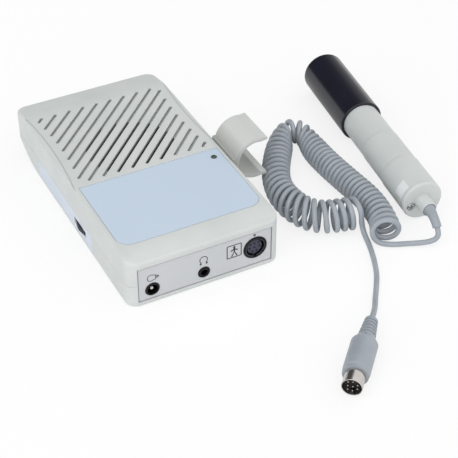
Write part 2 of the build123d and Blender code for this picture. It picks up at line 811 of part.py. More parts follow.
def make_probe_body():
    """The tube of the probe in three widths, with rails for its board and posts for its screws."""
    inner_r = neck_r - body_wall
    start = face_start + face_t
    body = turned([(inner_r, start), (neck_r, start), (neck_r, neck_end), (middle_r, neck_end + step_length),
                   (middle_r, middle_end), (grip_r, middle_end + step_length), (grip_r, grip_end),
                   (inner_r, grip_end)])
    board_end = probe_board_start() + probe_board_length
    for side in (-1, 1):
        rail = box(-1.6, 1.6, probe_board_width / 2 - 0.8, inner_r + 0.5, probe_board_start(), board_end)
        body += rail if side > 0 else mirror(rail, Plane.XZ)
    body -= probe_board_block()
    place = tail_screw_place(grip_end - tail_inner_boss - tail_post_length)
    body += rod(tail_post_r, tail_post_length, place)
    body -= rod(screw_r + pilot_gap, tail_post_length, place * Pos(0, 0, 1))
    return probe_place(0) * body


def probe_board_start():
    return face_start + face_t + backing_t + 6


def probe_board_block():
    start = probe_board_start()
    return box(-0.6, 0.6, -probe_board_width / 2, probe_board_width / 2, start, start + probe_board_length)


def make_probe_board():
    """The probe's board with three chips on it."""
    board = probe_board_block()
    for along, length in ((10.0, 9.0), (30.0, 12.0), (58.0, 8.0)):
        start = probe_board_start() + along
        board += box(0.6, 2.2, -3.5, 3.5, start, start + length)
    return probe_place(0) * board


def make_transducer_face():
    inner_r = neck_r - body_wall
    back = face_start + face_t
    face = turned([(0, face_start), (neck_r, face_start), (neck_r, back), (inner_r, back),
                   (inner_r, back + spigot_length), (inner_r - 1.4, back + spigot_length),
                   (inner_r - 1.4, back), (0, back)])
    outer = face.edges().filter_by(GeomType.CIRCLE).group_by(Axis.Z)[0]
    return probe_place(0) * fillet(outer, face_edge_r)


def make_transducer_crystals():
    """Two half discs behind the face: one sends, one listens."""
    disc = rod(crystal_r, crystal_t, Pos(0, 0, face_start + face_t))
    halves = [disc & box(-20, 20, crystal_split / 2, 20, 0, 20), disc & box(-20, 20, -20, -crystal_split / 2, 0, 20)]
    return Compound(children=[probe_place(0) * half for half in halves])


def make_transducer_backing():
    return probe_place(0) * rod(crystal_r, backing_t, Pos(0, 0, face_start + face_t + crystal_t))


def tail_screw_place(along):
    """The screw's place across the probe's end, at that length along it."""
    turn = radians(90 + tail_screw_turn)
    return Pos(tail_screw_offset * cos(turn), tail_screw_offset * sin(turn), along)


def make_probe_end_cap():
    """The rear plate with the long boss for the cord and a seat for its screw."""
    end = grip_end + tail_length
    tail = rod(grip_r, tail_length, Pos(0, 0, grip_end))
    tail = fillet(tail.edges().filter_by(GeomType.CIRCLE).group_by(Axis.Z)[-1], tail_edge_r)
    tip = end + boss_length
    tail += turned([(0, end - 0.5), (boss_base_r, end - 0.5), (boss_base_r, end), (boss_tip_r, tip - 0.3),
                    (boss_tip_r - 0.3, tip), (relief_base_r + 0.15, tip), (relief_base_r + 0.15, tip - boss_recess),
                    (0, tip - boss_recess)])
    place = tail_screw_place(grip_end - tail_inner_boss)
    tail += rod(tail_inner_boss_r, tail_inner_boss + 0.5, place)
    tail -= rod(screw_r + clearance_gap, tail_inner_boss + tail_length + 1, place * Pos(0, 0, -0.5))
    tail -= rod(tail_screw_head_r + clearance_gap, 9, tail_screw_place(tail_head_start()))
    return probe_place(0) * tail


def tail_head_start():
    return grip_end + tail_length + tail_screw_rise - screw_head_h


def make_probe_screw():
    head = tail_head_start() + screw_head_h
    length = head - (grip_end - tail_inner_boss - tail_post_length + 1.5)
    return probe_place(0) * tail_screw_place(head) * Rot(180, 0, 0) * screw(length, tail_screw_head_r)


def make_probe_sticker():
    half = radians(sticker_span / 2)
    wedge = make_face(Polyline((0, 0), (30 * cos(half), 30 * sin(half)), (30 * cos(half), -30 * sin(half)),
                               close=True))
    section = (Circle(grip_r + sticker_t) - Circle(grip_r)) & wedge
    return probe_place(sticker_start) * Rot(0, 0, sticker_turn) * extrude(section, sticker_length)


def relief_path_place(turn):
    """A place on the strain relief's bent axis, turned down by that many degrees."""
    start = probe_place(grip_end + tail_length + boss_length - boss_recess)
    angle = radians(turn)
    forward, drop = relief_bend_r * sin(angle), relief_bend_r * (1 - cos(angle))
    return start * Pos(-drop, 0, forward) * Rot(0, -turn, 0)


def make_probe_strain_relief():
    sections = []
    for index in range(relief_sections):
        share = index / (relief_sections - 1)
        radius = relief_tip_r + (relief_base_r - relief_tip_r) * (1 - share) ** 3
        sections.append(relief_path_place(relief_bend * share) * Circle(radius))
    return loft(sections)


def spline_point(points, share):
    """A point on the clamped, uniform quadratic B-spline of the route's points, share from 0 to 1."""
    spans = len(points) - 2
    span = min(int(share * spans), spans - 1)
    knots = [0, 0] + [index / spans for index in range(spans + 1)] + [1, 1]
    t0, t1, t2, t3 = knots[span + 1:span + 5]
    first, second, third = points[span:span + 3]
    w1, w2, w = (share - t0) / (t2 - t0), (share - t1) / (t3 - t1), (share - t1) / (t2 - t1)
    blend = []
    for a, b, c in zip(first, second, third):
        blend.append((a + (b - a) * w1) * (1 - w) + (b + (c - b) * w2) * w)
    return blend


def smooth(low, high, value):
    """0 below low, 1 above high, an even S between them."""
    share = min(max((value - low) / (high - low), 0), 1)
    return share * share * (3 - 2 * share)


def moving_mean(values, reach):
    """Each value's mean with its neighbours, up to reach to each side and fewer near the ends."""
    sums = [0.0]
    for value in values:
        sums.append(sums[-1] + value)
    means, last = [], len(values) - 1
    for index in range(last + 1):
        half = min(reach, index, last - index)
        means.append((sums[index + half + 1] - sums[index - half]) / (2 * half + 1))
    return means


def even_axis():
    """The route as points in even steps, and the length of a step."""
    raw = [spline_point(coil_route, index / axis_steps) for index in range(axis_steps + 1)]
    lengths = [0.0]
    for (x0, y0), (x1, y1) in zip(raw, raw[1:]):
        lengths.append(lengths[-1] + hypot(x1 - x0, y1 - y0))
    step, low, points = lengths[-1] / axis_steps, 0, []
    for index in range(axis_steps + 1):
        while low < axis_steps - 1 and lengths[low + 1] < index * step:
            low += 1
        share = (index * step - lengths[low]) / (lengths[low + 1] - lengths[low])
        points.append([a + (b - a) * share for a, b in zip(raw[low], raw[low + 1])])
    return points, step


def axis_headings(points):
    """The axis's heading at each point, without jumps of a whole turn."""
    headings = []
    for index in range(len(points)):
        (x0, y0), (x1, y1) = points[max(index - 1, 0)], points[min(index + 1, len(points) - 1)]
        heading = atan2(y1 - y0, x1 - x0)
        if headings:
            heading -= 2 * pi * round((heading - headings[-1]) / (2 * pi))
        headings.append(heading)
    return headings


def curl_radius_at(share):
    """The radius of the curls: wide at both ends of the coil, narrow in its fold."""
    start = (first_curl_r - curl_r) * (1 - smooth(0, 0.06, share))
    fold = (fold_curl_r - curl_r) * (smooth(0.36, 0.44, share) - smooth(0.5, 0.58, share))
    waist = (waist_curl_r - curl_r) * smooth(0.5, 0.7, share)
    return curl_r + start + fold + waist + (last_curl_r - waist_curl_r) * smooth(0.72, 0.88, share)


def least_rate(radius, lean, bend):
    """How far a ring's closest side moves for each millimetre of the axis."""
    rates = []
    for index in range(33):
        side = sin(2 * pi * index / 32)
        rates.append(hypot(cos(lean) - radius * bend * side, sin(lean) * side))
    return min(rates)


def coil_rings():
    """For each point of the axis: the point, the ring's heading and radius, and the turns made so far."""
    points, step = even_axis()
    headings = axis_headings(points)
    reach = int(ring_reach / step)
    eased = moving_mean(moving_mean(headings, reach), reach)
    rings = []
    for index in range(axis_steps + 1):
        ahead = ring_lead * smooth(0.55, 0.7, index / axis_steps) / step
        low = min(int(index + ahead), axis_steps - 1)
        share = min(index + ahead, axis_steps) - low
        rings.append(eased[low] + (eased[low + 1] - eased[low]) * share)
    bends = []
    for index in range(axis_steps + 1):
        low, high = max(index - 1, 0), min(index + 1, axis_steps)
        bends.append((rings[high] - rings[low]) / ((high - low) * step))
    bends = moving_mean(bends, int(bend_reach / step))
    radii, turns = [], [0.0]
    for index in range(axis_steps + 1):
        share = index / axis_steps
        radii.append(curl_radius_at(share))
        rate = least_rate(radii[-1], headings[index] - rings[index], bends[index])
        free = free_pitch + (first_pitch - free_pitch) * (1 - smooth(0.02, 0.12, share))
        free += (loose_pitch - free_pitch) * smooth(0.55, 0.7, share)
        pitch = max(free, (wire_d + turn_gap + fold_gap * (1 - rate)) / max(rate, 0.2))
        turns.append(turns[-1] + step / pitch)
    turns.pop()
    whole = floor(turns[-1] - 0.5) + 0.5
    print(f"coil: {turns[-1]:.2f} turns before rounding to {whole}")
    return points, rings, radii, [turn * whole / turns[-1] for turn in turns]


def coil_point(turn, rings):
    """Where the wire's middle is after that many turns round the axis."""
    points, headings, radii, turns = rings
    low, high = 0, axis_steps
    while high - low > 1:
        middle = (low + high) // 2
        low, high = (middle, high) if turns[middle] <= turn else (low, middle)
    share = (turn - turns[low]) / (turns[high] - turns[low])
    x, y = (a + (b - a) * share for a, b in zip(points[low], points[high]))
    heading = headings[low] + (headings[high] - headings[low]) * share
    radius = radii[low] + (radii[high] - radii[low]) * share
    side, lift = -radius * sin(2 * pi * turn), radius * (1 - cos(2 * pi * turn)) + wire_r
    return Vector(x + side * sin(heading), y - side * cos(heading), lift)


def biarc(start, start_way, end, end_way):
    """Two arcs that leave start along start_way and reach end along end_way."""
    span, ways = end - start, start_way + end_way
    b, c = span.dot(ways), 2 * (1 - start_way.dot(end_way))
    reach = (sqrt(b * b + c * span.dot(span)) - b) / c if c > 1e-9 else span.dot(span) / (4 * span.dot(end_way))
    first, second = start + start_way * reach, end - end_way * reach
    joint = (first + second) * 0.5
    return [Edge.make_tangent_arc(start, start_way, joint),
            Edge.make_tangent_arc(joint, (second - first).normalized(), end)]


def coil_edges():
    """The coil's wire as arcs of a quarter turn, between a short straight run at each end."""
    rings = coil_rings()
    last = rings[-1][-1]
    halves = int(round(2 * last))
    spots, step = [], 1e-4
    for index in range(halves + 1):
        turn = index / 2
        before, after = max(turn - step, 0), min(turn + step, last)
        way = (coil_point(after, rings) - coil_point(before, rings)).normalized()
        spots.append((coil_point(turn, rings), way))
    edges = [Edge.make_line(spots[0][0] - spots[0][1] * coil_end_run, spots[0][0])]
    for (p0, t0), (p1, t1) in zip(spots, spots[1:]):
        edges += biarc(p0, t0, p1, t1)
    return edges + [Edge.make_line(spots[-1][0], spots[-1][0] + spots[-1][1] * coil_end_run)]


def least_gap(edges):
    """The least gap between the wire and its own neighbouring curls, over points on its middle line."""
    points, run = [], 0.0
    for edge in edges:
        for index in range(gap_points_per_edge):
            points.append((run + edge.length * index / gap_points_per_edge,
                           edge.position_at(index / gap_points_per_edge)))
        run += edge.length
    least = 1e9
    for index, (run_a, a) in enumerate(points):
        for run_b, b in points[index + 1:index + 40 * gap_points_per_edge]:
            if run_b - run_a > 3 * wire_d:
                least = min(least, (a - b).length)
    return least - wire_d


def tube_along(edges):
    path = Wire(edges)
    return sweep(Plane(origin=path @ 0, z_dir=path % 0) * Circle(wire_r), path=path)


def lead(points, name):
    """A soft wire through points: straight runs joined by arcs."""
    spots = [Vector(*point) for point in points]
    runs = [b - a for a, b in zip(spots, spots[1:])]
    radii = []
    for before, after in zip(runs, runs[1:]):
        turn = before.get_angle(after)
        radii.append(0.45 * min(before.length, after.length) / tan(radians(turn / 2)))
    path = FilletPolyline(*spots, radius=radii)
    tube = tube_along(path.edges())
    print(f"{name}: length {path.length:.1f}, least radius {min(radii):.1f}, volume {tube.volume:.1f} of "
          f"{pi * wire_r ** 2 * path.length:.1f}, lowest {tube.bounding_box().min.Z:.2f}")
    return tube


def make_probe_lead(coil_start, coil_way):
    tip = relief_path_place(relief_bend)
    way = Axis(tip).direction
    start = Vector(*tip.position)
    arrive = coil_start - coil_way * lead_in
    points = [start, start + way * relief_out] + [Vector(*p) for p in probe_lead_points] + [arrive, coil_start]
    return lead(points, "probe lead")


def plug_place(along):
    """A place on the plug's axis, Z towards its pins and X up."""
    turn = radians(plug_heading)
    heading = (cos(turn), sin(turn), 0)
    origin = (plug_x + along * heading[0], plug_y + along * heading[1], plug_body_r)
    return Location(Plane(origin=origin, x_dir=(0, 0, 1), z_dir=heading))


def make_plug_lead(coil_end, coil_way):
    end = Vector(*plug_place(0).position)
    before = Vector(*plug_place(-plug_in).position)
    points = [coil_end, coil_end + coil_way * lead_out] + [Vector(*p) for p in plug_lead_points] + [before, end]
    return lead(points, "plug lead")


def make_plug_boot():
    """The tapered boot with its ribs."""
    outline = [(0, 0), (boot_tip_r, 0)]
    pitch = boot_length / (boot_ribs + 1)
    for index in range(boot_ribs):
        for share, groove in ((0.45, 0), (0.5, boot_groove), (0.95, boot_groove), (1.0, 0)):
            along = (index + 0.3 + share) * pitch
            outline.append((boot_tip_r + (boot_root_r - boot_tip_r) * along / boot_length - groove, along))
    outline += [(boot_root_r, boot_length), (0, boot_length)]
    return plug_place(0) * turned(outline)


def make_plug_body():
    end = boot_length + plug_body_length
    body = turned([(0, boot_length), (boot_root_r + 0.3, boot_length), (plug_body_r, boot_length + plug_shoulder),
                   (plug_body_r, end - 2.4), (plug_nose_r, end - 1.8), (plug_nose_r, end), (0, end)])
    return plug_place(0) * body


def make_plug_shell():
    end = boot_length + plug_body_length
    tube = extrude(Circle(plug_shell_r) - Circle(plug_shell_r - plug_shell_t), plug_shell_length)
    return plug_place(end) * tube


def plug_pin_solids(start, end):
    return [rod(plug_pin_r, end - start, Pos(x, y, start)) for y, row in pin_rows for x in row]


def make_plug_insert():
    """The black insert with its key, behind the shell's rim."""
    base = boot_length + plug_body_length
    face = base + plug_shell_length - plug_insert_recess
    core_r = plug_shell_r - plug_shell_t
    insert = rod(core_r, face - base, Pos(0, 0, base))
    key = rod(core_r, face + 3 - base, Pos(0, 0, base)) & box(-9, 0.6 - core_r, -0.8, 0.8, base, base + 99)
    insert += key
    for pin in plug_pin_solids(face - 3, face + 1):
        insert -= pin
    return plug_place(0) * insert


def make_plug_pins():
    rim = boot_length + plug_body_length + plug_shell_length
    face = rim - plug_insert_recess
    return Compound(children=[plug_place(0) * pin for pin in plug_pin_solids(face - 3, rim - plug_pin_short)])


os.makedirs("parts", exist_ok=True)

coil = coil_edges()
coil_path = Wire(coil)
print(f"coil: length {coil_path.length:.1f}, arcs {len(coil) - 2}, least gap {least_gap(coil):.2f}")
save(tube_along(coil), "coil_cord")
save(make_probe_lead(coil_path @ 0, coil_path % 0), "probe_lead")
save(make_plug_lead(coil_path @ 1, coil_path % 1), "plug_lead")

save(make_upper_shell(), "upper_shell")
save(make_lower_shell(), "lower_shell")
save(make_front_panel(), "front_panel")
save(make_top_label(), "top_label")
save(make_side_label(), "side_label")
save(make_battery_cover(), "battery_cover")
save(make_battery_tray(), "battery_tray")
save(make_batteries(), "batteries")
save(make_battery_contacts(), "battery_contacts")
save(make_main_board(), "main_board")
save(make_board_components(), "board_components")
save(make_speaker_frame(), "speaker_frame")
save(make_speaker_magnet(), "speaker_magnet")
save(make_speaker_cone(), "speaker_cone")
save(make_volume_pot(), "volume_pot")
save(make_volume_wheel(), "volume_wheel")
save(make_wheel_clip(), "wheel_clip")
save(make_power_led(), "power_led")
save(make_led_leads(), "led_leads")
save(make_dc_jack(), "dc_jack")
save(make_dc_jack_pin(), "dc_jack_pin")
save(make_phone_jack(), "phone_jack")
save(make_probe_socket(), "probe_socket")
save(make_probe_socket_shield(), "probe_socket_shield")
save(make_probe_socket_contacts(), "probe_socket_contacts")
save(make_probe_clip(), "probe_clip")
save(make_clip_screws(), "clip_screws")
save(make_case_screws(), "case_screws")

save(make_probe_cap(), "probe_cap")
save(make_probe_body(), "probe_body")
save(make_transducer_face(), "transducer_face")
save(make_transducer_crystals(), "transducer_crystals")
save(make_transducer_backing(), "transducer_backing")
save(make_probe_board(), "probe_board")
save(make_probe_end_cap(), "probe_end_cap")
save(make_probe_screw(), "probe_screw")
save(make_probe_sticker(), "probe_sticker")
save(make_probe_strain_relief(), "probe_strain_relief")

save(make_plug_boot(), "plug_boot")
save(make_plug_body(), "plug_body")
save(make_plug_shell(), "plug_shell")
save(make_plug_insert(), "plug_insert")
save(make_plug_pins(), "plug_pins")
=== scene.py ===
# %% [markdown]
# # A pocket vascular doppler, dressed for the camera
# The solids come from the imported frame: a flat case with a loudspeaker grille, a pencil probe under its cap, a
# curly cord and a round plug. This file gives them their finishes, and makes afresh the pieces that a solid
# can't show well: the cord as one smooth wire, and the printed marks on the front panel.

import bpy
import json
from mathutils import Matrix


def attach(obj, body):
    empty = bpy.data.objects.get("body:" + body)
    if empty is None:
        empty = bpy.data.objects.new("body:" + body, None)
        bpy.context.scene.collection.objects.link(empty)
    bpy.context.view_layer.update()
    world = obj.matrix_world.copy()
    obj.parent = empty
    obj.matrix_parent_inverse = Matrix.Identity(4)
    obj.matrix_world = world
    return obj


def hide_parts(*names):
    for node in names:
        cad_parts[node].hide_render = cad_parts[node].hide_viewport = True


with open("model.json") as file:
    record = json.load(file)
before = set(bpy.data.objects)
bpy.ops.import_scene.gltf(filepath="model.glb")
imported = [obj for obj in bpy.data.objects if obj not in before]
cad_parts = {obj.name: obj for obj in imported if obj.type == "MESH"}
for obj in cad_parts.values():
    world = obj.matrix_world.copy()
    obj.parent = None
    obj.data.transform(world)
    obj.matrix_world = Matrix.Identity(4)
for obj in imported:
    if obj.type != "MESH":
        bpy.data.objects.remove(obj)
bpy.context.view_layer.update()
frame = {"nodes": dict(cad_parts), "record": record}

import json
from math import cos, pi, radians, sin

import bpy
import numpy as np
from mathutils import Vector

mm = 0.001
print("solids loaded:", len(frame["nodes"]))

# %% [markdown]
# ## The camera
# The photograph was taken from above the front left corner, from far away and with a long lens, so the case's
# edges hardly converge. The place, the two angles and the lens were worked out from the case's own corners.

# %% Camera
camera_data = bpy.data.cameras.new("camera")
camera_data.lens = 106.11
camera_data.sensor_width = 36.0
camera_data.clip_start = 0.01
camera = bpy.data.objects.new("camera", camera_data)
camera.location = (-0.2119, -0.5105, 0.4255)
camera.rotation_euler = (radians(90 - 38.92), 0, radians(-27.18))
bpy.context.scene.collection.objects.link(camera)
bpy.context.scene.camera = camera
bpy.context.scene.view_settings.view_transform = "Standard"
print("camera's distance from the case's middle, m:", round(camera.location.length, 3))

# %% [markdown]
# ## Light
# The object was lit in a white tent: light from all round, hardly a shadow, and the left side and the front
# nearly as bright as the top. Only the far side of the tent was dark, which is why the glossy cap shows a black
# middle between two pale bands: its middle mirrors the dark side, and its flanks mirror the white table. The
# world gives that light from each direction d, dimmed where d leans towards the far side and up, and two wide
# lamps on the left give it a direction.

# %% Sums in node trees
def worked(tree, operation, first, second=0.0):
    """A Math node's answer; first and second are numbers or the outputs of other nodes."""
    node = tree.nodes.new("ShaderNodeMath")
    node.operation = operation
    for socket, value in zip(node.inputs, (first, second)):
        if isinstance(value, float):
            socket.default_value = value
        else:
            tree.links.new(value, socket)
    return node.outputs[0]


def ranged(tree, value, span, answers, curve="LINEAR"):
    """Goes from the first answer to the second as value goes over the span, and holds them beyond its ends."""
    node = tree.nodes.new("ShaderNodeMapRange")
    node.interpolation_type = curve
    node.inputs["From Min"].default_value, node.inputs["From Max"].default_value = span
    node.inputs["To Min"].default_value, node.inputs["To Max"].default_value = answers
    tree.links.new(value, node.inputs["Value"])
    return node.outputs["Result"]


# %% World
dark_side, dark_share = (-0.14, 0.98, 0.0), 0.9
world = bpy.data.worlds.new("white_tent")
world.use_nodes = True
tree = world.node_tree
direction = tree.nodes.new("ShaderNodeTexCoord").outputs["Generated"]
upward = tree.nodes.new("ShaderNodeSeparateXYZ")
lean_back = tree.nodes.new("ShaderNodeVectorMath")
lean_back.operation = "DOT_PRODUCT"
lean_back.inputs[1].default_value = dark_side
tree.links.new(direction, upward.inputs["Vector"])
tree.links.new(direction, lean_back.inputs[0])
dimmed = worked(tree, "MULTIPLY",
                ranged(tree, lean_back.outputs["Value"], (0.42, 0.7), (0.0, dark_share), "SMOOTHSTEP"),
                ranged(tree, upward.outputs["Z"], (0.0, 0.12), (0.0, 1.0), "SMOOTHSTEP"))
background = tree.nodes["Background"]
background.inputs["Strength"].default_value = 1.02
tree.links.new(worked(tree, "SUBTRACT", 1.0, dimmed), background.inputs["Color"])
bpy.context.scene.world = world
print("world:", world.name, "with", len(tree.nodes), "nodes")


# %% Lamps
def soft_box(name, place, aim, size, power):
    """A square lamp at place, turned so that its own -Z axis points at aim."""
    data = bpy.data.lights.new(name, "AREA")
    data.shape, data.size, data.energy = "SQUARE", size, power
    lamp = bpy.data.objects.new(name, data)
    lamp.location = place
    lamp.rotation_mode = "QUATERNION"
    lamp.rotation_quaternion = (Vector(aim) - Vector(place)).to_track_quat("-Z", "Y")
    bpy.context.scene.collection.objects.link(lamp)
    print(name, "at", place, "with", power, "W")


case_top = (0.02, -0.03, 0)
soft_box("key_lamp", place=(-0.8, -0.5, 1.1), aim=case_top, size=0.9, power=4.2)
soft_box("side_lamp", place=(-1.2, 0.1, 0.45), aim=case_top, size=0.7, power=0.7)

# %% [markdown]
# ## Surfaces from numbers
# Nearly every new piece here is a grid of points: rows run along the piece and columns run round it. The points
# are worked out for the whole grid at once, and each square of four neighbours becomes a face.

# %% Grid helpers
def grid_faces(rows, columns):
    """Faces of a grid whose columns close into a ring: corners (i, j), (i, j+1), (i+1, j+1), (i+1, j)."""
    i, j = (part.ravel() for part in np.meshgrid(np.arange(rows - 1), np.arange(columns), indexing="ij"))
    on = (j + 1) % columns
    return np.stack([i * columns + j, i * columns + on, (i + 1) * columns + on, (i + 1) * columns + j], axis=1)


def skin_faces(rows, columns):
    """The faces of a closed skin over rings: the grid's squares, and its first and last ring filled in."""
    return grid_faces(rows, columns).tolist() + [list(range(columns))[::-1],
                                                 [(rows - 1) * columns + j for j in range(columns)]]


def add_piece(name, points, faces, material, smooth=True):
    """Puts points (n, 3), in metres, and lists of corner numbers into a new mesh object at the origin."""
    mesh = bpy.data.meshes.new(name)
    mesh.from_pydata(np.asarray(points, float).reshape(-1, 3).tolist(), [], [list(face) for face in faces])
    mesh.update()
    mesh.polygons.foreach_set("use_smooth", [smooth] * len(mesh.polygons))
    mesh.materials.append(material)
    piece = bpy.data.objects.new(name, mesh)
    bpy.context.scene.collection.objects.link(piece)
    return piece


def unit(vectors):
    """The vectors at length 1."""
    return vectors / np.linalg.norm(vectors, axis=-1, keepdims=True)


# %% [markdown]
# ## The white sweep
# The photograph stands on plain white, with only a breath of shadow under the object. White paper alone would
# render pale grey in this light, and more light would bleach the object. So the floor is paper to every ray but
# the camera's, and to the camera it is mostly a glow of strength 1, which is white, and a little paper, which
# keeps the shadow.

# %% Floor
glow_share = 0.78
sweep_white = bpy.data.materials.new("sweep_white")
sweep_white.use_nodes = True
tree = sweep_white.node_tree
tree.nodes.clear()
paper = tree.nodes.new("ShaderNodeBsdfDiffuse")
paper.inputs["Color"].default_value = (0.93, 0.93, 0.93, 1)
glow = tree.nodes.new("ShaderNodeEmission")
glow.inputs["Strength"].default_value = 1.0
rays = tree.nodes.new("ShaderNodeLightPath")
mixed = tree.nodes.new("ShaderNodeMixShader")
output = tree.nodes.new("ShaderNodeOutputMaterial")
tree.links.new(worked(tree, "MULTIPLY", rays.outputs["Is Camera Ray"], glow_share), mixed.inputs[0])
tree.links.new(paper.outputs[0], mixed.inputs[1])
tree.links.new(glow.outputs[0], mixed.inputs[2])
tree.links.new(mixed.outputs[0], output.inputs["Surface"])
reach, below = 3.0, 0.3 * mm
floor = add_piece("floor", [(-reach, -reach, -below), (reach, -reach, -below), (reach, reach, -below),
                            (-reach, reach, -below)], [(0, 1, 2, 3)], sweep_white, smooth=False)
print("floor:", 2 * reach, "m wide")

# %% [markdown]
# ## Finishes
# Injection-moulded plastic is never one flat colour: the mould leaves a fine grain, handling polishes it
# unevenly, and dust settles faintly. Each finish below starts from one colour, lets slow noise move it a little
# towards a second one, gives the gloss its own slow noise, and adds the grain as a shallow bump. Everything is
# measured in the object's own coordinates, so that the pattern stays put when a piece moves.
#
# No moulded edge is a knife edge either. A Bevel node looks at the surface a fraction of a millimetre round
# each point and gives the normal of a rounded edge there. The bump starts from that normal, so edges catch the
# light in a thin line. Where it differs from the real normal the edge's colour is painted paler: partly rubbed
# wear, partly a painted highlight along the edge.

# %% Helpers for finishes
def linear(colour):
    """Screen colour in 0..255 to linear light: ((c + 0.055) / 1.055) to the power 2.4, or c / 12.92 if dark."""
    part = np.asarray(colour, float) / 255
    light = np.where(part > 0.04045, ((part + 0.055) / 1.055) ** 2.4, part / 12.92)
    return tuple(float(value) for value in light)


def noise(tree, place, size, detail):
    """Noise with blotches of about size, in metres, read at place."""
    node = tree.nodes.new("ShaderNodeTexNoise")
    node.inputs["Scale"].default_value = 1 / size
    node.inputs["Detail"].default_value = detail
    tree.links.new(place, node.inputs["Vector"])
    return node.outputs["Fac"]


def shift(tree, value, span, most, colour, towards):
    """Mixes colour towards another: by 0 where value is at the span's start, to most where it is at its end."""
    mix = tree.nodes.new("ShaderNodeMix")
    mix.data_type = "RGBA"
    mix.inputs[7].default_value = (*towards, 1.0)
    tree.links.new(ranged(tree, value, span, (0.0, most)), mix.inputs[0])
    tree.links.new(colour, mix.inputs[6])
    return mix.outputs[2]


# %% One finish
def finish(name, colour, other, gloss=(0.45, 0.55), patch=20 * mm, grain=0.4 * mm, depth=0.01 * mm,
           metallic=0.0, specular=0.5, rub_and_highlight=0.35, edge_r=0.4 * mm, specks=0.25):
    """A finish whose colour and roughness drift between two values, over a fine grain; sizes in metres.

    rub_and_highlight is how far an edge is painted towards the pale colour 1.12 c + 0.02, partly as rubbed wear
    and partly as a painted highlight, edge_r how round the edge looks (0 leaves it alone), and specks how
    strongly fine dust darkens the colour, towards 0.86 c.
    """
    made = bpy.data.materials.new(name)
    made.use_nodes = True
    tree = made.node_tree
    shader = tree.nodes["Principled BSDF"]
    shader.inputs["Metallic"].default_value = metallic
    shader.inputs["Specular IOR Level"].default_value = specular
    place = tree.nodes.new("ShaderNodeTexCoord").outputs["Object"]
    slow = noise(tree, place, patch, 3)
    tint = tree.nodes.new("ShaderNodeValToRGB")
    for stop, at, shade in zip(tint.color_ramp.elements, (0.35, 0.65), (colour, other)):
        stop.position, stop.color = at, (*linear(shade), 1.0)
    tree.links.new(slow, tint.inputs["Fac"])
    tree.links.new(ranged(tree, slow, (0.3, 0.7), gloss), shader.inputs["Roughness"])
    body = linear(colour)
    dust_and_highlight = shift(tree, noise(tree, place, 1.1 * mm, 3), (0.6, 0.78), specks, tint.outputs["Color"],
                  [0.86 * value for value in body])
    bump = tree.nodes.new("ShaderNodeBump")
    bump.inputs["Distance"].default_value = depth
    bump.inputs["Strength"].default_value = 1.0
    tree.links.new(noise(tree, place, grain, 2), bump.inputs["Height"])
    tree.links.new(bump.outputs["Normal"], shader.inputs["Normal"])
    if edge_r:
        rounded = tree.nodes.new("ShaderNodeBevel")
        rounded.samples = 4
        rounded.inputs["Radius"].default_value = edge_r
        alike = tree.nodes.new("ShaderNodeVectorMath")
        alike.operation = "DOT_PRODUCT"
        tree.links.new(rounded.outputs["Normal"], alike.inputs[0])
        tree.links.new(tree.nodes.new("ShaderNodeNewGeometry").outputs["Normal"], alike.inputs[1])
        # Painted highlight: edges are painted paler, partly for rubbed wear and partly for the light a rounded
        # edge catches.
        dust_and_highlight = shift(tree, alike.outputs["Value"], (0.9985, 0.95), rub_and_highlight, dust_and_highlight,
                      [min(1.0, 1.12 * value + 0.02) for value in body])
        tree.links.new(rounded.outputs["Normal"], bump.inputs["Normal"])
    tree.links.new(dust_and_highlight, shader.inputs["Base Color"])
    return made


